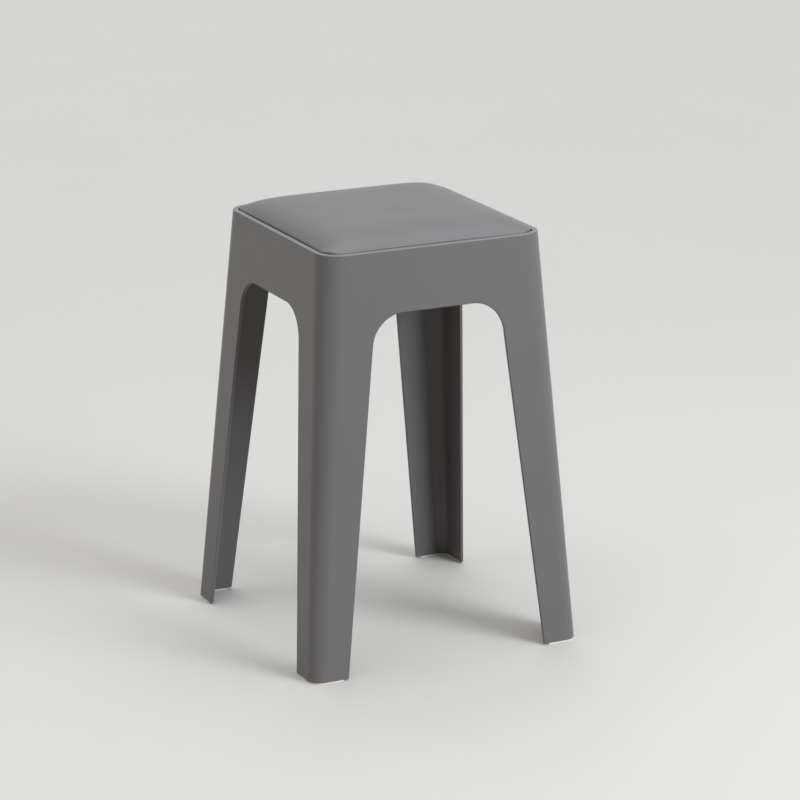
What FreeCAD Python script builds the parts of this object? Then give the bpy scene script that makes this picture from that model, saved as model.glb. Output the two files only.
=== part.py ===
import FreeCAD, Part
import os
from math import cos, radians, sqrt
from FreeCAD import Rotation, Vector

# Stacking stool: a one-piece moulded frame with four L-section legs, an upholstered pad screwed
# down into a well in its top, and a rubber strip under each foot.
# Millimetres. The origin is on the floor under the middle of the seat, +Z is up, the front is -Y.

# Outer form of the frame, a square that widens towards the floor
rim_height = 460.0
rim_half = 130.5
rim_corner = 25.3
floor_half = 161.65
floor_corner = 14.5
wall = 3.6

# Arch between two legs, the same in all four sides; the legs' widths are those of one side's face
arch_top = 392.2
leg_top_width = 61.09
leg_foot_width = 42.55
arch_corner = 37.0
arch_edge_round = 0.8

# Rim and the well that holds the pad
rim_width = 6.0
rim_outer_round = 1.0
rim_inner_round = 0.6
well_depth = 14.0
deck_thickness = 3.0

# Ribs under the deck
rib_pitch = 40.0
rib_count = 5
rib_thickness = 2.0
rib_depth = 16.0

# Stops that carry the next stool of a stack
stack_pitch = 64.0
stop_offset = 96.0
stop_thickness = 3.0

# Screws that hold the pad, one in the middle of each corner cell of the ribs
screw_offset = 60.0
screw_diameter = 5.0
screw_length = 20.0
screw_hole = 5.5
screw_head_diameter = 9.5
screw_head_height = 3.2
recess_width = 3.0
recess_slot = 1.2
recess_depth = 1.6
boss_diameter = 14.0
boss_length = 8.0
land_diameter = 18.0
washer_diameter = 12.5
washer_thickness = 1.0
vent_offset = 20.0
vent_diameter = 8.0

# Pad: board, foam and cover
pad_gap = 1.1
board_thickness = 9.0
cover_thickness = 1.0
cover_slack = 0.2
edge_rise = 0.5
crown_rise = 15.5
crown_power = 8.0
crown_top = 0.35
crown_steps = 8
crown_crowding = 1.5
side_draw = 0.6
flap_width = 25.0

# Tee nuts hammered into the board from above
tee_flange = 15.0
tee_flange_thickness = 1.2
tee_barrel = 6.6
tee_barrel_length = 7.0
tee_prongs = 4
prong_length = 5.0
prong_width = 2.0
prong_offset = 5.8
prong_thickness = 0.8
thread_gap = 0.05

# Staples that hold the cover's flap under the board
staples_per_side = 7
staple_spacing = 30.0
staple_crown = 10.0
staple_leg = 6.0
staple_wire = 0.6
staple_gap = 0.2
staple_inset = 12.0

# Foot strips with a tongue that is pressed into the foot of each leg
foot_height = 1.8
foot_inset = 0.4
foot_end = 5.0
foot_end_round = 1.2
tongue_width = 1.5
tongue_height = 6.0
tongue_gap = 0.05
groove_spare = 1.0

# Heights that follow from the sizes above
deck_top = rim_height - well_depth
deck_bottom = deck_top - deck_thickness
board_bottom = deck_top + staple_gap + staple_wire + cover_thickness
board_top = board_bottom + board_thickness
boss_bottom = deck_bottom - boss_length
stop_bottom = rim_height - stack_pitch
pad_edge = rim_height + edge_rise

# Plan sizes that follow from the sizes above
arch_top_half = rim_half + (floor_half - rim_half) * (1 - arch_top / rim_height) - leg_top_width
arch_floor_half = floor_half - leg_foot_width
well_half = rim_half - rim_width
well_corner = rim_corner - rim_width
pad_half = well_half - pad_gap
pad_corner = well_corner - pad_gap

UP = Vector(0, 0, 1)
QUARTERS = (0, 90, 180, 270)
DIAGONAL = cos(radians(45))
PAST = 1.0         # how far a cutting tool runs past the face that it cuts
NEAR = 0.01        # how close an edge has to be to a place to be found there
ROUNDEST = 0.45    # the largest round, as a share of the thickness that carries it


def turned(shape, angle):
    """A copy of the shape turned about the stool's vertical axis."""
    return shape.copy().rotate(Vector(0, 0, 0), UP, angle)


def moved(shape, x, y):
    """A copy of the shape moved level by the given distances."""
    return shape.copy().translate(Vector(x, y, 0))


def outer_half(z):
    """Distance from the middle to the frame's outer face at a height."""
    return floor_half + (rim_half - floor_half) * z / rim_height


def outer_corner(z):
    """Radius of the frame's upright corner at a height."""
    return floor_corner + (rim_corner - floor_corner) * z / rim_height


def rounded_square(half, corner, z, drawn_in=0.0):
    """A level square outline with round corners, whose sides may be drawn in."""
    flat = half - corner
    bend = flat + corner * DIAGONAL
    edges = []
    for angle in QUARTERS:
        spin = Rotation(UP, angle)
        low, high = Vector(half, -flat, z), Vector(half, flat, z)
        far = Vector(flat, half, z)
        middle = Vector(half - drawn_in, 0, z)
        points = [spin.multVec(p) for p in (low, middle, high, Vector(bend, bend, z), far)]
        if drawn_in:
            edges.append(Part.Arc(*points[:3]).toShape())
        else:
            edges.append(Part.LineSegment(points[0], points[2]).toShape())
        edges.append(Part.Arc(*points[2:]).toShape())
    return Part.Wire(edges)


def square_block(half, corner, low, high, drawn_in=0.0):
    """An upright block with round corners between two heights."""
    face = Part.Face(rounded_square(half, corner, low, drawn_in))
    return face.extrude(Vector(0, 0, high - low))


def body_block(inset, low, high):
    """The frame's outer form, moved inwards by an inset, between two heights."""
    ends = [rounded_square(outer_half(z) - inset, outer_corner(z) - inset, z) for z in (low, high)]
    faces = [Part.Face(end) for end in ends]
    for below, above in zip(ends[0].Edges, ends[1].Edges):
        if isinstance(below.Curve, Part.Line):
            points = [below.firstVertex().Point, below.lastVertex().Point,
                      above.lastVertex().Point, above.firstVertex().Point]
            faces.append(Part.Face(Part.makePolygon(points + points[:1])))
        else:
            faces.append(Part.makeRuledSurface(below, above))
    shell = Part.Shell(faces)
    shell.sewShape()
    return Part.Solid(shell)


def slab(x0, x1, y0, y1, z0, z1):
    """A box given by its limits."""
    return Part.makeBox(x1 - x0, y1 - y0, z1 - z0, Vector(x0, y0, z0))


def rod(radius, low, high, x=0.0, y=0.0):
    """An upright round bar."""
    return Part.makeCylinder(radius, high - low, Vector(x, y, low))


def corners(offset):
    """The four points at an offset from the middle along both X and Y."""
    return [(sx * offset, sy * offset) for sx in (-1, 1) for sy in (-1, 1)]


def arch_tool():
    """The cutter for the arches in the front and the back, one bar along Y."""
    slope = Vector(arch_floor_half - arch_top_half, 0, -arch_top).normalize()
    turn = slope.getAngle(Vector(1, 0, 0))
    tangent = arch_corner * sqrt((1 - cos(turn)) / (1 + cos(turn)))
    corner = Vector(arch_top_half, 0, arch_top)
    on_top = corner - Vector(tangent, 0, 0)
    on_side = corner + slope * tangent
    centre = on_top - Vector(0, 0, arch_corner)
    outwards = (corner - centre).normalize()
    on_arc = centre + outwards * arch_corner
    foot = corner + slope * ((corner.z - foot_height + PAST) / -slope.z)
    right = [on_top, on_arc, on_side, foot]
    left = [Vector(-p.x, p.y, p.z) for p in right]
    edges = [Part.Arc(right[0], right[1], right[2]).toShape(),
             Part.LineSegment(right[2], right[3]).toShape(),
             Part.LineSegment(right[3], left[3]).toShape(),
             Part.LineSegment(left[3], left[2]).toShape(),
             Part.Arc(left[2], left[1], left[0]).toShape(),
             Part.LineSegment(left[0], right[0]).toShape()]
    face = Part.Face(Part.Wire(edges))
    reach = floor_half + PAST
    return moved(face.extrude(Vector(0, 2 * reach, 0)), 0, -reach)


def arch_edges(shape, tool, along):
    """The edges that an arch cutter left on the wall's outer and inner faces."""
    found = []
    skin = tool.Shells[0]
    for edge in shape.Edges:
        middle = 0.5 * (edge.FirstParameter + edge.LastParameter)
        if abs(edge.tangentAt(middle).dot(along)) > 0.5:
            continue
        if skin.distToShape(Part.Vertex(edge.valueAt(middle)))[0] < NEAR:
            found.append(edge)
    return found


def rim_edges(shape, outer):
    """The rim's outer or inner top edges."""
    between = well_half + 0.5 * rim_width
    found = []
    for edge in shape.Edges:
        box = edge.BoundBox
        if box.ZMin < rim_height - NEAR:
            continue
        reach = max(abs(box.XMin), abs(box.XMax), abs(box.YMin), abs(box.YMax))
        if (reach > between) == outer:
            found.append(edge)
    return found


def foot_ring(near, far, low, high):
    """The part of the wall's thickness between two insets, over the length of a foot strip."""
    ring = body_block(near, low, high).cut(body_block(far, low, high))
    start = arch_floor_half + foot_end
    reach = floor_half + PAST
    return ring.common(slab(start, reach, start, reach, low, high))


def frame_shell():
    """The frame's walls, rim and deck, with its arches cut and its edges rounded."""
    shell = body_block(0, foot_height, rim_height)
    shell = shell.cut(body_block(wall, foot_height - PAST, deck_bottom))
    shell = shell.cut(square_block(well_half, well_corner, deck_top, rim_height + PAST))
    shell = shell.makeFillet(rim_outer_round, rim_edges(shell, True))
    shell = shell.makeFillet(rim_inner_round, rim_edges(shell, False))
    for angle, along in ((0, Vector(0, 1, 0)), (90, Vector(1, 0, 0))):
        tool = turned(arch_tool(), angle)
        shell = shell.cut(tool)
        shell = shell.makeFillet(arch_edge_round, arch_edges(shell, tool, along))
    return shell


def deck_ribs():
    """The grid of ribs under the deck, out to the walls."""
    low, high = deck_bottom - rib_depth, deck_bottom + 0.5 * deck_thickness
    half = 0.5 * rib_thickness
    webs = []
    for number in range(rib_count):
        x = (number - 0.5 * (rib_count - 1)) * rib_pitch
        web = slab(x - half, x + half, -rim_half, rim_half, low, high)
        webs += [web, turned(web, 90)]
    grid = webs[0].fuse(webs[1:]).removeSplitter()
    return grid.common(body_block(0.5 * wall, low, high))


def stack_stops():
    """Two short ribs inside each wall, whose lower ends rest on the rim of the stool below."""
    half = 0.5 * stop_thickness
    high = deck_bottom + 0.5 * deck_thickness
    near = well_half + rim_inner_round
    stops = []
    for x in (-stop_offset, stop_offset):
        web = slab(x - half, x + half, near, rim_half + wall, stop_bottom, high)
        web = web.common(body_block(0.5 * wall, stop_bottom, high))
        stops += [turned(web, angle) for angle in QUARTERS]
    return stops


def stool_frame():
    """The one-piece moulding."""
    bosses = []
    holes = []
    for x, y in corners(screw_offset):
        bosses.append(rod(0.5 * boss_diameter, boss_bottom, deck_top, x, y))
        bosses.append(rod(0.5 * land_diameter, deck_bottom, board_bottom, x, y))
        holes.append(rod(0.5 * screw_hole, boss_bottom - PAST, board_bottom + PAST, x, y))
    for x, y in corners(vent_offset):
        holes.append(rod(0.5 * vent_diameter, deck_bottom - PAST, deck_top + PAST, x, y))
    groove_top = foot_height + tongue_height + groove_spare
    near = 0.5 * (wall - tongue_width) - tongue_gap
    groove = foot_ring(near, wall - near, foot_height - PAST, groove_top)
    holes += [turned(groove, angle) for angle in QUARTERS]
    frame = frame_shell().fuse([deck_ribs()] + stack_stops() + bosses)
    return frame.cut(Part.makeCompound(holes)).removeSplitter()


def foot_strip(angle):
    """A rubber strip under one foot, with its tongue."""
    half = floor_half - foot_inset
    inner = floor_half - wall + foot_inset
    strip = square_block(half, floor_corner - foot_inset, 0, foot_height)
    strip = strip.cut(square_block(inner, floor_corner - wall + foot_inset, -PAST, foot_height + PAST))
    start = arch_floor_half + foot_end
    strip = strip.common(slab(start, floor_half, start, floor_half, 0, foot_height))
    ends = []
    for edge in strip.Edges:
        upright = edge.BoundBox.ZLength > foot_height - NEAR
        at_end = min(edge.BoundBox.XMax, edge.BoundBox.YMax) < start + NEAR
        if upright and at_end:
            ends.append(edge)
    strip = strip.makeFillet(min(foot_end_round, ROUNDEST * (half - inner)), ends)
    near = 0.5 * (wall - tongue_width)
    tongue = foot_ring(near, wall - near, 0.5 * foot_height, foot_height + tongue_height)
    return turned(strip.fuse(tongue).removeSplitter(), angle)


def crown_outline(share, inset, drop):
    """A level line of the cushion's crown, where share is its half width over the edge's."""
    rise = 1 - share ** crown_power
    half = pad_half * share - inset
    diagonal = pad_half * (1 - sqrt(rise)) ** (1 / crown_power) - inset
    corner = max(pad_corner - inset, (half - diagonal) / (1 - DIAGONAL))
    return rounded_square(half, corner, pad_edge + crown_rise * rise - drop, side_draw)


def pad_block(inset, low):
    """The cushion's whole form from a height up, shrunk inwards by an inset."""
    edge = pad_edge - inset
    base = square_block(pad_half - inset, pad_corner - inset, low, edge, side_draw)
    outlines = []
    for step in range(crown_steps + 1):
        share = 1 - (1 - crown_top) * (step / crown_steps) ** crown_crowding
        outlines.append(crown_outline(share, inset, inset))
    crown = Part.makeLoft(outlines, True, False)
    return base.fuse(crown).removeSplitter()


def seat_cover(staple_holes):
    """The cover: over the foam, down the sides and folded under the board's edge."""
    bottom = board_bottom - cover_thickness
    cover = pad_block(0, bottom).cut(pad_block(cover_thickness, board_bottom))
    window = pad_half - flap_width
    cover = cover.cut(square_block(window, pad_corner, bottom - PAST, board_bottom + PAST))
    return cover.cut(staple_holes)


def seat_foam():
    """The foam slab, pulled down at its edges by the cover."""
    return pad_block(cover_thickness + cover_slack, board_top)


def prong_blade(top):
    """A pointed blade that is bent down from a tee nut's flange."""
    half = 0.5 * prong_width
    points = [Vector(prong_offset, -half, top), Vector(prong_offset, half, top),
              Vector(prong_offset, 0, top - prong_length), Vector(prong_offset, -half, top)]
    return Part.Face(Part.makePolygon(points)).extrude(Vector(prong_thickness, 0, 0))


def tee_nut(x, y):
    """A tee nut: a flange on the board, a threaded barrel in it and its prongs."""
    flange_bottom = board_top - tee_flange_thickness
    nut = rod(0.5 * tee_flange, flange_bottom, board_top)
    nut = nut.fuse(rod(0.5 * tee_barrel, board_top - tee_barrel_length, board_top))
    blade = prong_blade(flange_bottom)
    nut = nut.fuse([turned(blade, 360 / tee_prongs * (number + 0.5)) for number in range(tee_prongs)])
    bore = rod(0.5 * screw_diameter + thread_gap, board_bottom, board_top + PAST)
    return moved(nut.cut(bore).removeSplitter(), x, y)


def seat_board(nuts, staple_holes):
    """The plywood board, with its tee nuts let in flush and its vent holes."""
    inset = cover_thickness + cover_slack
    board = square_block(pad_half - inset, pad_corner - inset, board_bottom, board_top, side_draw)
    holes = [rod(0.5 * tee_barrel, board_bottom - PAST, board_top, x, y) for x, y in corners(screw_offset)]
    holes += [rod(0.5 * vent_diameter, board_bottom - PAST, board_top + PAST, x, y)
              for x, y in corners(vent_offset)]
    return board.cut(Part.makeCompound(holes)).cut(Part.makeCompound(nuts)).cut(staple_holes)


def staple(x, y):
    """A staple along X: its crown under the flap and its two legs up in the board."""
    half = 0.5 * staple_crown
    thin = 0.5 * staple_wire
    top = board_bottom - cover_thickness
    crown = slab(-half, half, -thin, thin, top - staple_wire, top)
    leg_top = top + staple_leg
    left = slab(-half, -half + staple_wire, -thin, thin, top - thin, leg_top)
    right = slab(half - staple_wire, half, -thin, thin, top - thin, leg_top)
    return moved(crown.fuse([left, right]).removeSplitter(), x, y)


def cover_staples():
    """A row of staples along each side of the pad."""
    row = []
    for number in range(staples_per_side):
        x = (number - 0.5 * (staples_per_side - 1)) * staple_spacing
        row.append(staple(x, staple_inset - pad_half))
    return [turned(one, angle) for angle in QUARTERS for one in row]


def pad_screw(x, y):
    """A pan-head screw with a cross recess, driven from below."""
    head_top = boss_bottom - washer_thickness
    head_bottom = head_top - screw_head_height
    head = rod(0.5 * screw_head_diameter, head_bottom, head_top)
    lower = [e for e in head.Edges if e.BoundBox.ZMax < head_bottom + NEAR]
    head = head.makeFillet(ROUNDEST * screw_head_height, lower)
    shank = rod(0.5 * screw_diameter, head_top, head_top + screw_length)
    half = 0.5 * recess_width
    thin = 0.5 * recess_slot
    slot = slab(-half, half, -thin, thin, head_bottom - PAST, head_bottom + recess_depth)
    screw = head.fuse(shank).removeSplitter().cut(slot.fuse(turned(slot, 90)))
    return moved(screw, x, y)


def pad_washer(x, y):
    """A flat washer between a screw's head and its boss."""
    low = boss_bottom - washer_thickness
    ring = rod(0.5 * washer_diameter, low, boss_bottom)
    return moved(ring.cut(rod(0.5 * screw_hole, low - PAST, boss_bottom + PAST)), x, y)


def build():
    """Every sub-part by its node name."""
    staples = cover_staples()
    staple_holes = Part.makeCompound(staples)
    nuts = [tee_nut(x, y) for x, y in corners(screw_offset)]
    nodes = {
        "stool_frame": stool_frame(),
        "seat_board": seat_board(nuts, staple_holes),
        "seat_foam": seat_foam(),
        "seat_cover": seat_cover(staple_holes),
        "cover_staples": Part.makeCompound(staples),
        "tee_nuts": Part.makeCompound(nuts),
        "pad_screws": Part.makeCompound([pad_screw(x, y) for x, y in corners(screw_offset)]),
        "pad_washers": Part.makeCompound([pad_washer(x, y) for x, y in corners(screw_offset)]),
    }
    feet = ("back_right", "back_left", "front_left", "front_right")
    for angle, place in zip(QUARTERS, feet):
        nodes["foot_strip_" + place] = foot_strip(angle)
    return nodes


os.makedirs("parts", exist_ok=True)
for name, shape in build().items():
    shape.exportStep("parts/" + name + ".step")
    print(name, len(shape.Solids), "solids", round(shape.Volume / 1000, 2), "cm3", shape.isValid())
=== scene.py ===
# %% [markdown]
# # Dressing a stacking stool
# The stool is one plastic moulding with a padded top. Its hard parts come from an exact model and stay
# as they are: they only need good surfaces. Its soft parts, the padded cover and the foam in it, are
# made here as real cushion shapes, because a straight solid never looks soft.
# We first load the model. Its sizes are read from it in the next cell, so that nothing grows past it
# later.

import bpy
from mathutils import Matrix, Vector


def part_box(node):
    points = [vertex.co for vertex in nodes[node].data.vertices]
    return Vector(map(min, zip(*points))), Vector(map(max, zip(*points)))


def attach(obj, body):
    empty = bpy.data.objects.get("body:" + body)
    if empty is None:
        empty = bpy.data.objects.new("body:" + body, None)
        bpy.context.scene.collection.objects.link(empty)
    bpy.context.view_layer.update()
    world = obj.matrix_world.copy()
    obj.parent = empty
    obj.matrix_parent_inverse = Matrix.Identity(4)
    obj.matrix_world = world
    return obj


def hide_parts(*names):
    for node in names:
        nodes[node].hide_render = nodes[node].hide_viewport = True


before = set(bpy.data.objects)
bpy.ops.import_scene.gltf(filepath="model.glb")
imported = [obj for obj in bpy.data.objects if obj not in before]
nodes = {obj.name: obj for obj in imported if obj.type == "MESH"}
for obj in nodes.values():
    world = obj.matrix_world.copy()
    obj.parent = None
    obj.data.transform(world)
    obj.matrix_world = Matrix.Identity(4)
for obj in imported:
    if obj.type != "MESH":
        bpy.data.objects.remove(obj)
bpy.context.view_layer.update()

from math import cos, pi, radians, sin, sqrt

import bpy
import numpy as np
from mathutils import Vector

scene = bpy.context.scene
print("pieces of the model:", ", ".join(sorted(nodes)))

# %% [markdown]
# ## Sizes that the soft parts share
# The cover sits in a well in the stool's top. Every size below is read from the model or is a real size
# of the upholstery, so the cushion always lands in its well.

# %% Sizes of the pad
cover_low, cover_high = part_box("seat_cover")
foam_low, foam_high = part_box("seat_foam")
rim_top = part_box("stool_frame")[1].z

pad_half = 0.5 * (cover_high.x - cover_low.x)
pad_corner = 0.0185         # radius of the pad's upright corners
least_corner = 0.002        # the flap's corners get no sharper than this
cover_thickness = 0.0009    # a little under a millimetre
edge_rise = 0.0005          # how far the pad's edge stands above the rim
crown_rise = cover_high.z - rim_top - edge_rise
crown_power = 8.0           # the higher, the flatter the crown and the steeper its shoulders
side_draw = 0.0006          # how far the sides pull in between the corners
edge_loop = 0.0010          # width of the narrow row of faces beside the edge
edge_roll = 0.0012          # radius of the cover's roll round the board's lower edge
flap_width = 0.025          # width of the flap under the board
print("pad half width", round(pad_half, 4), "crown", round(crown_rise, 4))

# %% [markdown]
# ## Shared surface effects
# Moulded plastic, leatherette and rubber are never one flat colour. Small effects that several finishes
# need are built once, as node groups with named sockets, and each finish sets its own amounts. The groups
# give only masks, values and colours, and the shader itself stays in each material.

# %% A helper that starts a node group with named sockets
def start_group(name, inputs, outputs):
    """A node group whose sockets are given as {name: (kind, default)} and {name: kind}."""
    tree = bpy.data.node_groups.new(name, "ShaderNodeTree")
    for label, (kind, default) in inputs.items():
        socket = tree.interface.new_socket(label, in_out="INPUT", socket_type=kind)
        socket.default_value = default
    for label, kind in outputs.items():
        tree.interface.new_socket(label, in_out="OUTPUT", socket_type=kind)
    print("group", name + ":", ", ".join(inputs), "->", ", ".join(outputs))
    return tree, tree.nodes.new("NodeGroupInput"), tree.nodes.new("NodeGroupOutput")


def add_math(tree, operation, first, second, clamp=False):
    """A Math node; each operand is a number or a socket. Gives its output socket."""
    node = tree.nodes.new("ShaderNodeMath")
    node.operation = operation
    node.use_clamp = clamp
    for socket, value in zip(node.inputs, (first, second)):
        if isinstance(value, (int, float)):
            socket.default_value = value
        else:
            tree.links.new(value, socket)
    return node.outputs[0]


def add_noise(tree, vector, scale, detail, roughness=0.5):
    """A Noise Texture; gives its 0 to 1 value socket."""
    node = tree.nodes.new("ShaderNodeTexNoise")
    node.inputs["Detail"].default_value = detail
    node.inputs["Roughness"].default_value = roughness
    tree.links.new(vector, node.inputs["Vector"])
    if isinstance(scale, (int, float)):
        node.inputs["Scale"].default_value = scale
    else:
        tree.links.new(scale, node.inputs["Scale"])
    return node.outputs[0]


def object_position(tree):
    """The point's place on the piece, in metres."""
    return tree.nodes.new("ShaderNodeTexCoord").outputs["Object"]


# %% [markdown]
# ### Patchiness
# Plastic and rubber cool unevenly and leatherette is coated in a roll, so their colour drifts by a few
# percent over some centimetres. A colour ramp would give hard bands, so the colour is scaled by a slow
# noise instead.

# %% Patchiness group
def build_patchiness():
    """Scales a colour up and down a little by a slow noise."""
    tree, given, out = start_group(
        "Patchiness",
        {"Color": ("NodeSocketColor", (0.5, 0.5, 0.5, 1)),
         "Scale": ("NodeSocketFloat", 12.0),
         "Amount": ("NodeSocketFloat", 0.05)},
        {"Color": "NodeSocketColor"})
    slow = add_noise(tree, object_position(tree), given.outputs["Scale"], 3.0)
    drift = add_math(tree, "SUBTRACT", slow, 0.5)
    gain = add_math(tree, "ADD", add_math(tree, "MULTIPLY", drift, given.outputs["Amount"]), 1.0)
    scaled = tree.nodes.new("ShaderNodeVectorMath")
    scaled.operation = "SCALE"
    tree.links.new(given.outputs["Color"], scaled.inputs[0])
    tree.links.new(gain, scaled.inputs["Scale"])
    tree.links.new(scaled.outputs[0], out.inputs["Color"])
    return tree


patchiness = build_patchiness()

# %% [markdown]
# ### Worn edges
# Edges that hands and other stools rub turn a little paler. Comparing the true normal with
# one that is rounded over a small radius shows where an edge is, whatever the mesh looks like. A noise
# then breaks the line up, because wear is never even.

# %% Worn edge group
def build_worn_edge():
    """A mask that is 1 on sharp edges and fades within a small radius."""
    tree, given, out = start_group(
        "Worn edge",
        {"Radius": ("NodeSocketFloat", 0.002),
         "Sharpness": ("NodeSocketFloat", 3.0),
         "Break up": ("NodeSocketFloat", 40.0)},
        {"Mask": "NodeSocketFloat"})
    bevel = tree.nodes.new("ShaderNodeBevel")
    bevel.samples = 6
    tree.links.new(given.outputs["Radius"], bevel.inputs["Radius"])
    true_normal = tree.nodes.new("ShaderNodeNewGeometry").outputs["Normal"]
    dot = tree.nodes.new("ShaderNodeVectorMath")
    dot.operation = "DOT_PRODUCT"
    tree.links.new(bevel.outputs[0], dot.inputs[0])
    tree.links.new(true_normal, dot.inputs[1])
    edge = add_math(tree, "SUBTRACT", 1.0, dot.outputs["Value"])
    edge = add_math(tree, "MULTIPLY", edge, given.outputs["Sharpness"], clamp=True)
    broken = add_noise(tree, object_position(tree), given.outputs["Break up"], 4.0)
    tree.links.new(add_math(tree, "MULTIPLY", edge, broken, clamp=True), out.inputs["Mask"])
    return tree


worn_edge = build_worn_edge()

# %% [markdown]
# ### Fine grain
# A mould for furniture is spark-eroded or blasted, which leaves a grain of about a third of a
# millimetre. It hardly shows as a shape, but it breaks the highlight up into a soft sheen.

# %% Fine grain group
def build_fine_grain():
    """A fine even grain and the roughness that goes with it."""
    tree, given, out = start_group(
        "Fine grain",
        {"Scale": ("NodeSocketFloat", 2500.0),
         "Roughness": ("NodeSocketFloat", 0.5),
         "Roughness spread": ("NodeSocketFloat", 0.08)},
        {"Height": "NodeSocketFloat", "Roughness": "NodeSocketFloat"})
    place = object_position(tree)
    grain = add_noise(tree, place, given.outputs["Scale"], 2.0)
    slow = add_noise(tree, place, 25.0, 4.0)
    centred = add_math(tree, "SUBTRACT", slow, 0.5)
    spread = add_math(tree, "MULTIPLY", centred, given.outputs["Roughness spread"])
    tree.links.new(grain, out.inputs["Height"])
    tree.links.new(add_math(tree, "ADD", spread, given.outputs["Roughness"], clamp=True),
                   out.inputs["Roughness"])
    return tree


fine_grain = build_fine_grain()

# %% [markdown]
# ### Floor grime
# Whatever stands on a floor picks up a little dirt close to it. The mask is strongest at the floor and
# fades out upwards, with a noise in it so that it doesn't end in a line.

# %% Floor grime group
def build_floor_grime():
    """A mask that fades from the floor up to a height."""
    tree, given, out = start_group(
        "Floor grime",
        {"Height": ("NodeSocketFloat", 0.02), "Amount": ("NodeSocketFloat", 0.3)},
        {"Mask": "NodeSocketFloat"})
    place = object_position(tree)
    split = tree.nodes.new("ShaderNodeSeparateXYZ")
    tree.links.new(place, split.inputs[0])
    share = add_math(tree, "DIVIDE", split.outputs["Z"], given.outputs["Height"])
    fade = add_math(tree, "SUBTRACT", 1.0, share, clamp=True)
    blotch = add_noise(tree, place, 160.0, 5.0)
    dirt = add_math(tree, "MULTIPLY", fade, blotch)
    tree.links.new(add_math(tree, "MULTIPLY", dirt, given.outputs["Amount"], clamp=True),
                   out.inputs["Mask"])
    return tree


floor_grime = build_floor_grime()

# %% [markdown]
# ## Finishes
# Each finish is one material with its own Principled shader. What is the same all over a surface is set
# on the shader's own sockets. What varies comes from the groups.

# %% Helpers for finishes
def start_finish(name, **constants):
    """A material with its Principled shader, whose plain sockets are set by name."""
    material = bpy.data.materials.new(name)
    material.use_nodes = True
    shader = material.node_tree.nodes["Principled BSDF"]
    for label, value in constants.items():
        shader.inputs[label.replace("_", " ")].default_value = value
    print("finish", name, constants)
    return material, material.node_tree, shader


def place_group(tree, group, **values):
    """One use of a node group, with its own values; an underscore stands for a space."""
    node = tree.nodes.new("ShaderNodeGroup")
    node.node_tree = group
    for label, value in values.items():
        node.inputs[label.replace("_", " ")].default_value = value
    return node


def mix_colour(tree, mask, first, second):
    """The first colour where the mask is 0 and the second where it is 1."""
    node = tree.nodes.new("ShaderNodeMix")
    node.data_type = "RGBA"
    tree.links.new(mask, node.inputs["Factor"])
    for socket, value in ((node.inputs[6], first), (node.inputs[7], second)):
        if isinstance(value, tuple):
            socket.default_value = value
        else:
            tree.links.new(value, socket)
    return node.outputs[2]


def add_bump(tree, shader, height, depth, strength=1.0):
    """Raises the surface by a height map of the given depth in metres."""
    bump = tree.nodes.new("ShaderNodeBump")
    bump.inputs["Strength"].default_value = strength
    bump.inputs["Distance"].default_value = depth
    tree.links.new(height, bump.inputs["Height"])
    tree.links.new(bump.outputs[0], shader.inputs["Normal"])


def join_surface(tree, shader, colour, grain, height, depth, strength):
    """Gives the shader its colour, a grain's roughness and a bump."""
    tree.links.new(colour, shader.inputs["Base Color"])
    tree.links.new(grain.outputs["Roughness"], shader.inputs["Roughness"])
    add_bump(tree, shader, height, depth, strength)


# %% [markdown]
# ### Dark grey body plastic
# The body is polypropylene, coloured through, with a satin grain. Its edges are a touch paler where they
# rub, and its feet carry a trace of dirt.

# %% Body plastic
def finish_body_plastic():
    """Dark grey moulded plastic."""
    material, tree, shader = start_finish("body_plastic", IOR=1.49)
    base = place_group(tree, patchiness, Color=(0.136, 0.135, 0.140, 1), Scale=9.0, Amount=0.12)
    edge = place_group(tree, worn_edge, Radius=0.0015, Sharpness=2.5, Break_up=60.0)
    grime = place_group(tree, floor_grime, Height=0.03, Amount=0.25)
    grain = place_group(tree, fine_grain, Scale=2600.0, Roughness=0.34, Roughness_spread=0.08)
    rubbed = mix_colour(tree, add_math(tree, "MULTIPLY", edge.outputs["Mask"], 0.35),
                        base.outputs["Color"], (0.30, 0.30, 0.30, 1))
    colour = mix_colour(tree, grime.outputs["Mask"], rubbed, (0.20, 0.17, 0.13, 1))
    join_surface(tree, shader, colour, grain, grain.outputs["Height"], 0.00006, 0.35)
    return material


body_plastic = finish_body_plastic()

# %% [markdown]
# ### Leatherette
# The cover is a coated fabric with a pressed leather grain: small rounded cells with fine creases
# between them. A Voronoi texture gives the cells. The place where it is read is bent by a noise, so that
# the grain doesn't look like tiles.

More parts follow.
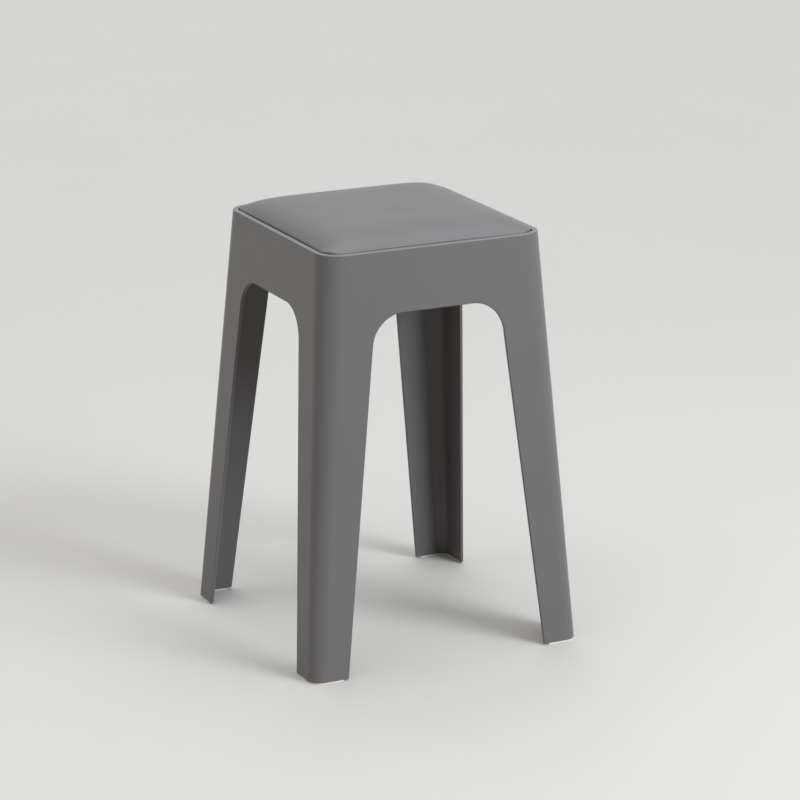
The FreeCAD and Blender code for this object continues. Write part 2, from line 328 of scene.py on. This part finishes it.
# %% Leatherette
def finish_leatherette():
    """The pad's cover: dark grey coated fabric with a pressed grain."""
    material, tree, shader = start_finish("cover_leatherette", IOR=1.45)
    place = object_position(tree)
    base = place_group(tree, patchiness, Color=(0.108, 0.107, 0.111, 1), Scale=14.0, Amount=0.12)
    grain = place_group(tree, fine_grain, Scale=1800.0, Roughness=0.42, Roughness_spread=0.10)
    warp = tree.nodes.new("ShaderNodeTexNoise")
    warp.inputs["Scale"].default_value = 220.0
    tree.links.new(place, warp.inputs["Vector"])
    bent = tree.nodes.new("ShaderNodeVectorMath")
    bent.operation = "MULTIPLY_ADD"
    bent.inputs[1].default_value = (0.0016, 0.0016, 0.0016)
    tree.links.new(warp.outputs["Color"], bent.inputs[0])
    tree.links.new(place, bent.inputs[2])
    cells = tree.nodes.new("ShaderNodeTexVoronoi")
    cells.feature = "SMOOTH_F1"
    cells.inputs["Scale"].default_value = 950.0
    tree.links.new(bent.outputs[0], cells.inputs["Vector"])
    height = add_math(tree, "SUBTRACT", grain.outputs["Height"], cells.outputs["Distance"])
    crease = add_math(tree, "MULTIPLY", cells.outputs["Distance"], 0.35, clamp=True)
    colour = mix_colour(tree, crease, base.outputs["Color"], (0.12, 0.12, 0.125, 1))
    join_surface(tree, shader, colour, grain, height, 0.00010, 0.4)
    return material


leatherette = finish_leatherette()

# %% [markdown]
# ### Foot rubber
# The strips are pale cream rubber. Rubber is matt and slightly speckled, and it holds dirt near the floor.

# %% Foot rubber
def finish_foot_rubber():
    """Pale cream rubber with dirt near the floor."""
    material, tree, shader = start_finish("foot_rubber", IOR=1.52)
    base = place_group(tree, patchiness, Color=(0.93, 0.90, 0.80, 1), Scale=60.0, Amount=0.10)
    grime = place_group(tree, floor_grime, Height=0.0012, Amount=0.35)
    grain = place_group(tree, fine_grain, Scale=1500.0, Roughness=0.62, Roughness_spread=0.12)
    colour = mix_colour(tree, grime.outputs["Mask"], base.outputs["Color"], (0.25, 0.20, 0.14, 1))
    join_surface(tree, shader, colour, grain, grain.outputs["Height"], 0.00008, 0.5)
    return material


foot_rubber = finish_foot_rubber()

# %% [markdown]
# ### Foam
# Seat foam is open-celled: it looks like a fine sponge. A Voronoi texture gives the pores, which are
# deep in the middle of each cell. The shade in each pore is painted into the colour as a darker middle.

# %% Foam
def finish_foam():
    """Yellowish open-celled seat foam."""
    material, tree, shader = start_finish("seat_foam", Roughness=0.95)
    place = object_position(tree)
    base = place_group(tree, patchiness, Color=(0.74, 0.66, 0.44, 1), Scale=25.0, Amount=0.18)
    pores = tree.nodes.new("ShaderNodeTexVoronoi")
    pores.inputs["Scale"].default_value = 1100.0
    tree.links.new(place, pores.inputs["Vector"])
    # painted shade: the colour turns dark brown towards each pore's middle, standing in for the shade deep
    # in the pore
    pore_shade = add_math(tree, "SUBTRACT", 0.55, pores.outputs["Distance"], clamp=True)
    colour = mix_colour(tree, pore_shade, base.outputs["Color"], (0.36, 0.29, 0.15, 1))
    tree.links.new(colour, shader.inputs["Base Color"])
    add_bump(tree, shader, pores.outputs["Distance"], 0.0004, 0.8)
    return material


foam_finish = finish_foam()

# %% [markdown]
# ### Plywood
# The board shows long grain on its faces and thin layers, light and dark in turn, on its edges. A noise
# stretched along X makes the grain, and a wave texture along Z makes the layers, which are shown only
# where the surface stands upright.

# %% Plywood
def finish_plywood():
    """Birch plywood: face grain, and layers on the edges."""
    material, tree, shader = start_finish("plywood", IOR=1.5)
    place = object_position(tree)
    stretch = tree.nodes.new("ShaderNodeMapping")
    stretch.inputs["Scale"].default_value = (4.0, 60.0, 60.0)
    tree.links.new(place, stretch.inputs["Vector"])
    fibre = add_noise(tree, stretch.outputs[0], 2.5, 6.0, 0.65)
    layers = tree.nodes.new("ShaderNodeTexWave")
    layers.bands_direction = "Z"
    layers.inputs["Scale"].default_value = 105.0
    layers.inputs["Distortion"].default_value = 0.4
    tree.links.new(place, layers.inputs["Vector"])
    split = tree.nodes.new("ShaderNodeSeparateXYZ")
    tree.links.new(tree.nodes.new("ShaderNodeNewGeometry").outputs["Normal"], split.inputs[0])
    level = add_math(tree, "ABSOLUTE", split.outputs["Z"], 0.0)
    upright = add_math(tree, "SUBTRACT", 1.0, level, clamp=True)
    face = mix_colour(tree, fibre, (0.62, 0.44, 0.25, 1), (0.42, 0.27, 0.13, 1))
    edge = mix_colour(tree, layers.outputs["Fac"], (0.60, 0.43, 0.25, 1), (0.25, 0.15, 0.07, 1))
    colour = mix_colour(tree, upright, face, edge)
    grain = place_group(tree, fine_grain, Scale=900.0, Roughness=0.72, Roughness_spread=0.2)
    join_surface(tree, shader, colour, grain, fibre, 0.0002, 0.5)
    return material


plywood = finish_plywood()

# %% [markdown]
# ### Zinc-plated steel
# Screws, washers, tee nuts and staples are plated wire and sheet. Plating is not a mirror: it has a soft
# crystalline blotch and an uneven roughness, and its edges are bright where they rub.

# %% Zinc steel
def finish_zinc(name, colour):
    """Plated steel for small fastenings."""
    material, tree, shader = start_finish(name, Metallic=1.0)
    base = place_group(tree, patchiness, Color=colour, Scale=220.0, Amount=0.35)
    grain = place_group(tree, fine_grain, Scale=3500.0, Roughness=0.34, Roughness_spread=0.3)
    edge = place_group(tree, worn_edge, Radius=0.0003, Sharpness=3.0, Break_up=400.0)
    bright = mix_colour(tree, edge.outputs["Mask"], base.outputs["Color"], (0.85, 0.85, 0.84, 1))
    join_surface(tree, shader, bright, grain, grain.outputs["Height"], 0.00003, 0.4)
    return material


zinc_steel = finish_zinc("zinc_steel", (0.66, 0.66, 0.63, 1))
staple_wire = finish_zinc("staple_wire", (0.60, 0.60, 0.60, 1))

# %% [markdown]
# ### Which piece gets which finish
# The hard pieces keep their exact shapes and only get a finish in each of their material slots. The four
# foot strips are alike, so they are found by the start of their names.

# %% Put the finishes on the hard pieces
finish_of = {"stool_frame": body_plastic, "seat_board": plywood, "cover_staples": staple_wire,
             "tee_nuts": zinc_steel, "pad_screws": zinc_steel, "pad_washers": zinc_steel}
for name in nodes:
    if name.startswith("foot_strip"):
        finish_of[name] = foot_rubber
for name, material in finish_of.items():
    for slot in nodes[name].material_slots:
        slot.material = material
print("finishes on", len(finish_of), "hard pieces")

# %% [markdown]
# ## The padded cover
# An upholsterer lays foam on the board, pulls the cover over it, down the sides and round under the
# board, and staples it there. The foam is squeezed most at its edges, so the top is a flat crown with
# soft shoulders.
#
# A cushion could be a subdivided box, but its corners then pinch to a point. Here the top is a square
# grid that is pressed out to the pad's round-cornered outline, so its squares run with the sides. The
# sides and the flap under the board are more rings below the grid's edge.

# %% The pad's outline
def outline_point(u, v, half, corner):
    """Where a point of the square from -1 to 1 lands in a round-cornered square of the given size."""
    reach = max(abs(u), abs(v))
    if reach == 0:
        return 0.0, 0.0
    du, dv = u / reach, v / reach
    flat = half - corner
    x, y = du * half, dv * half
    if abs(x) > flat and abs(y) > flat:
        along = (abs(y) - flat) / corner if abs(x) >= abs(y) else 2 - (abs(x) - flat) / corner
        angle = 0.25 * pi * along
        x = (flat + corner * cos(angle)) * (1 if x > 0 else -1)
        y = (flat + corner * sin(angle)) * (1 if y > 0 else -1)
    elif abs(x) >= abs(y):
        x -= side_draw * (1 - (y / flat) ** 2) * (1 if x > 0 else -1)
    else:
        y -= side_draw * (1 - (x / flat) ** 2) * (1 if y > 0 else -1)
    return x * reach, y * reach


def crown_height(x, y, half, rise):
    """How far the crown stands above the pad's edge."""
    return rise * max(0.0, 1 - abs(x / half) ** crown_power) * max(0.0, 1 - abs(y / half) ** crown_power)


# %% [markdown]
# ### The cover's mesh
# `cells` squares a side give 5 mm squares, which is fine enough for the cloth solver. A narrow row of
# faces on both sides of the edge keeps the edge crisp when the mesh is subdivided later. The rings below
# the edge follow the pad's side, a small roll at the board's lower edge, and the flap.

# %% Build the cover as one open skin
def pad_skin(name, half, corner, edge_z, rise, low_z, flap, cells=48):
    """An open skin: crowned top, side, and a flap below. Gives its last ring and its top's size too."""
    steps = np.linspace(-1, 1, cells + 1)
    steps = np.sort(np.append(steps, [edge_loop / half - 1, 1 - edge_loop / half]))
    row = len(steps)
    points, faces = [], []
    for v in steps:
        for u in steps:
            x, y = outline_point(u, v, half, corner)
            points.append((x, y, edge_z + crown_height(x, y, half, rise)))
    for j in range(row - 1):
        for i in range(row - 1):
            a = j * row + i
            faces.append((a, a + 1, a + row + 1, a + row))
    loop = list(range(row))
    loop += [j * row + row - 1 for j in range(1, row)]
    loop += [(row - 1) * row + i for i in range(row - 2, -1, -1)]
    loop += [j * row for j in range(row - 2, 0, -1)]
    bend = 0.3 * edge_roll
    rings = [(0, edge_z - edge_loop)]
    rings += [(0, edge_z - (edge_z - low_z) * share) for share in (0.25, 0.5, 0.75)]
    rings += [(0, low_z + edge_roll), (bend, low_z + bend), (edge_roll, low_z)]
    rings += [(edge_roll + (flap - edge_roll) * share, low_z) for share in (0.25, 0.5, 0.75, 1.0)]
    last = loop
    for inset, z in rings:
        ring = []
        for index in loop:
            u, v = steps[index % row], steps[index // row]
            x, y = outline_point(u, v, half - inset, max(least_corner, corner - inset))
            ring.append(len(points))
            points.append((x, y, z))
        for k in range(len(loop)):
            n = (k + 1) % len(loop)
            faces.append((last[n], last[k], ring[k], ring[n]))
        last = ring
    mesh = bpy.data.meshes.new(name)
    mesh.from_pydata(points, [], faces)
    mesh.update()
    piece = bpy.data.objects.new(name, mesh)
    scene.collection.objects.link(piece)
    return piece, last, row * row


start_share = 0.94
cushion, _, top_count = pad_skin("seat_cushion", pad_half, pad_corner, rim_top + edge_rise,
                                 crown_rise * start_share, cover_low.z, flap_width)
print("cover skin:", len(cushion.data.vertices), "points,", len(cushion.data.polygons), "faces")

# %% [markdown]
# ### Let the foam push the cover up
# Blender's Cloth with a little pressure does what the foam does: it pushes the skin out until the cover
# is tight. The side and the flap are pinned, because the board and the staples hold them. The start is
# a little flatter than the real pad, so the pressure has room to work. The solver leaves small creases on
# the grid's diagonals, so each point's move is averaged with its neighbours' moves. Then all moves are
# scaled so that the highest point ends just at the real crown, and nothing swells past it.

# %% Cloth simulation of the cover
def calmed(move, rounds=12):
    """The moves of the top's square grid, averaged with their neighbours so that no crease is left."""
    row = int(sqrt(len(move)) + 0.5)
    grid = move.reshape(row, row, 3).copy()
    for _ in range(rounds):
        around = grid[:-2, 1:-1] + grid[2:, 1:-1] + grid[1:-1, :-2] + grid[1:-1, 2:]
        grid[1:-1, 1:-1] = 0.5 * grid[1:-1, 1:-1] + 0.125 * around
    return grid.reshape(-1, 3)


def swell(piece, free_count, top_z, frames=20, most_gain=3.0):
    """Blows the skin's free points up to the crown and keeps the shape as plain mesh."""
    start = np.array([v.co for v in piece.data.vertices])
    pinned = piece.vertex_groups.new(name="held")
    pinned.add(list(range(free_count, len(start))), 1.0, "REPLACE")
    cloth = piece.modifiers.new("swell", "CLOTH")
    settings = cloth.settings
    settings.quality = 8
    settings.mass = 0.4
    settings.tension_stiffness = 25
    settings.compression_stiffness = 25
    settings.shear_stiffness = 12
    settings.bending_stiffness = 2.0
    settings.use_pressure = True
    settings.uniform_pressure_force = 4.0
    settings.vertex_group_mass = "held"
    settings.effector_weights.gravity = 0
    cloth.collision_settings.use_collision = False
    cloth.collision_settings.use_self_collision = False
    cloth.point_cache.frame_start = 1
    cloth.point_cache.frame_end = frames
    for number in range(1, frames + 1):
        scene.frame_set(number)
    solved = piece.evaluated_get(bpy.context.evaluated_depsgraph_get())
    end = np.array([v.co for v in solved.data.vertices])
    piece.modifiers.remove(cloth)
    scene.frame_set(1)
    move = end - start
    move[:free_count] = calmed(move[:free_count])
    lift = move[:free_count, 2]
    gain = (top_z - start[:free_count, 2].max()) / max(1e-6, lift.max())
    print("cloth lift, mm:", round(1000 * float(lift.max()), 2), "scaled by", round(float(gain), 2))
    final = start + move * min(gain, most_gain)
    piece.data.vertices.foreach_set("co", final.ravel())
    piece.data.update()


swell(cushion, top_count, cover_high.z)

# %% [markdown]
# ### Thickness and softness
# The cover is a millimetre thick, so the skin is thickened inwards, and one round of subdivision takes
# the last facets out of its shoulders.

# %% Thicken and smooth the cover
def apply_modifiers(piece):
    """Turns what the piece's modifiers make into plain mesh."""
    solved = piece.evaluated_get(bpy.context.evaluated_depsgraph_get())
    mesh = bpy.data.meshes.new_from_object(solved)
    piece.modifiers.clear()
    piece.data = mesh


def shade_smooth(piece):
    """Smooth shading on every face."""
    piece.data.polygons.foreach_set("use_smooth", [True] * len(piece.data.polygons))
    piece.data.update()


def thicken(piece, thickness):
    """Gives the skin its thickness, inwards, and subdivides it once."""
    solid = piece.modifiers.new("thickness", "SOLIDIFY")
    solid.thickness = thickness
    solid.offset = -1.0
    smooth = piece.modifiers.new("smooth", "SUBSURF")
    smooth.levels = 1
    smooth.render_levels = 1
    apply_modifiers(piece)
    shade_smooth(piece)


thicken(cushion, cover_thickness)
cushion.data.materials.append(leatherette)
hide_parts("seat_cover")
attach(cushion, "root")
print("cushion:", len(cushion.data.polygons), "faces")

# %% [markdown]
# ## The foam slab
# The foam lies under the cover and can't be seen from outside, but anyone who takes the pad apart finds
# it. It is the same skin as the cover's, a little smaller and flatter, and its last ring is closed to a
# flat underside on the board.

# %% Build the foam
foam_share = 0.84           # height of the foam's crown, as a share of what the model gives it


def foam_slab(name):
    """A closed slab with the cover's crown, flat where it lies on the board."""
    half = 0.5 * (foam_high.x - foam_low.x)
    shrink = pad_half - half
    rise = foam_share * (foam_high.z - rim_top - edge_rise)
    piece, last_ring, _ = pad_skin(name, half, pad_corner - shrink, rim_top + edge_rise - shrink,
                                   rise, foam_low.z, 0.5 * half, cells=32)
    points = [tuple(v.co) for v in piece.data.vertices]
    faces = [tuple(p.vertices) for p in piece.data.polygons] + [tuple(last_ring)]
    closed = bpy.data.meshes.new(name)
    closed.from_pydata(points, [], faces)
    closed.update()
    piece.data = closed
    return piece


foam = foam_slab("foam_slab")
shade_smooth(foam)
foam.data.materials.append(foam_finish)
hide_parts("seat_foam")
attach(foam, "root")
print("foam:", len(foam.data.polygons), "faces")

# %% [markdown]
# ## Floor, light and camera
# The floor is plain and pale where the camera sees it. The light that it throws back up is that of a
# darker, warmer floor, or the insides of the legs would look washed out. From below it is clear, so that
# the stool can be looked at from underneath.

# %% Floor
floor_reach = 30.0


def seen_mask(tree):
    """1 for rays from the camera, off a shine or through glass, and 0 for rays that carry light."""
    path = tree.nodes.new("ShaderNodeLightPath")
    seen = add_math(tree, "MAXIMUM", path.outputs["Is Camera Ray"], path.outputs["Is Glossy Ray"])
    return add_math(tree, "MAXIMUM", seen, path.outputs["Is Transmission Ray"])


def studio_floor():
    """A wide floor: pale where it is seen, warm where it throws light back, clear from below."""
    side = floor_reach
    mesh = bpy.data.meshes.new("floor")
    mesh.from_pydata([(-side, -side, 0), (side, -side, 0), (side, side, 0), (-side, side, 0)],
                     [], [(0, 1, 2, 3)])
    floor = bpy.data.objects.new("floor", mesh)
    scene.collection.objects.link(floor)
    material, tree, shader = start_finish("floor_paint", Roughness=0.75)
    pale = place_group(tree, patchiness, Color=(0.45, 0.447, 0.441, 1), Scale=3.0, Amount=0.03)
    colour = mix_colour(tree, seen_mask(tree), (0.16, 0.125, 0.10, 1), pale.outputs["Color"])
    tree.links.new(colour, shader.inputs["Base Color"])
    below = tree.nodes.new("ShaderNodeNewGeometry").outputs["Backfacing"]
    tree.links.new(add_math(tree, "SUBTRACT", 1.0, below), shader.inputs["Alpha"])
    mesh.materials.append(material)


studio_floor()

# %% [markdown]
# ### Light
# Satin plastic shows two things at once: the light that falls on it, and a blurred picture of the room,
# which is strongest where we look along a face. So the room has to be pale all round, while the light
# has to come from few directions, or the stool looks flat. A wide sun overhead lights the top and the
# floor. The key light comes from the front right: half of it is a square lamp near by, which fades a
# little towards the feet, and half is a sun. Suns light a floor alike out to the horizon, so the
# background stays pale without a lamp of its own. Two weak suns, from the left and the back, fill what
# the others leave too dark. All suns but the overhead one are hidden from reflections, because the pad
# and the far floor would glare when they are seen against them.

# %% Lamps
stool_middle = Vector((0, 0, 0.3))


def direction(azimuth, height):
    """A unit vector; azimuth 0 is the front and grows to the right, both angles in degrees."""
    level = cos(radians(height))
    return Vector((level * sin(radians(azimuth)), -level * cos(radians(azimuth)), sin(radians(height))))


def add_lamp(name, kind, source, strength, tint):
    """A lamp that shines from a direction; gives the lamp and its settings."""
    data = bpy.data.lights.new(name, kind)
    data.energy = strength
    data.color = tint
    lamp = bpy.data.objects.new(name, data)
    lamp.rotation_euler = source.to_track_quat("Z", "Y").to_euler()
    scene.collection.objects.link(lamp)
    return lamp, data


def soft_sun(name, azimuth, height, width, strength, tint):
    """A wide sun, which lights every part of the floor alike."""
    lamp, data = add_lamp(name, "SUN", direction(azimuth, height), strength, tint)
    data.angle = radians(width)
    return lamp


def square_lamp(name, azimuth, height, distance, size, power, tint):
    """A square lamp that faces the middle of the stool and fades a little towards its feet."""
    source = direction(azimuth, height)
    lamp, data = add_lamp(name, "AREA", source, power, tint)
    data.shape = "SQUARE"
    data.size = size
    lamp.location = stool_middle + source * distance


soft_sun("overhead", -20, 84, 90, 2.85, (1.0, 1.0, 1.0))
square_lamp("near key", 30, 36, 1.8, 0.8, 14.5, (0.96, 0.98, 1.0))
hidden_suns = [soft_sun("key", 30, 32, 24, 1.5, (0.96, 0.98, 1.0)),
               soft_sun("left", -118, 22, 50, 0.42, (1.0, 0.90, 0.78)),
               soft_sun("back", 165, 35, 60, 0.95, (1.0, 0.99, 0.97))]
for lamp in hidden_suns:
    lamp.visible_glossy = False

# %% [markdown]
# ### The room
# The background is pale to the camera and in reflections. For all other rays it is much darker, so it
# adds no flat light of its own.

# %% Room background
def pale_room(seen_strength, light_strength):
    """A world that is pale where it is seen and dim where it lights."""
    world = bpy.data.worlds.new("room")
    world.use_nodes = True
    tree = world.node_tree
    strength = add_math(tree, "MULTIPLY", seen_mask(tree), seen_strength - light_strength)
    strength = add_math(tree, "ADD", strength, light_strength)
    background = tree.nodes["Background"]
    background.inputs["Color"].default_value = (1.0, 0.995, 0.985, 1)
    tree.links.new(strength, background.inputs["Strength"])
    scene.world = world


pale_room(0.72, 0.01)
scene.view_settings.view_transform = "Standard"
print("room:", scene.world.name, "shown as", scene.view_settings.view_transform)

# %% [markdown]
# ### Camera
# The camera looks from the front left, a little above the seat, through a long lens, because the stool's
# upright edges hardly converge in the picture that it is matched to.

# %% Camera at the picture's viewing angle
camera_place = Vector((-1.4817, -3.0845, 1.2776))
camera_target = Vector((0.0164, -0.0080, 0.25425))
lens_mm = 145.25
sensor_mm = 36.0


def place_camera():
    """A long lens that looks slightly down on the stool from its front left."""
    data = bpy.data.cameras.new("camera")
    data.sensor_width = sensor_mm
    data.lens = lens_mm
    camera = bpy.data.objects.new("camera", data)
    camera.location = camera_place
    camera.rotation_euler = (camera_target - camera_place).to_track_quat("-Z", "Y").to_euler()
    scene.collection.objects.link(camera)
    scene.camera = camera


place_camera()
print("camera", round((camera_place - camera_target).length, 2), "m away, lens", lens_mm, "mm")
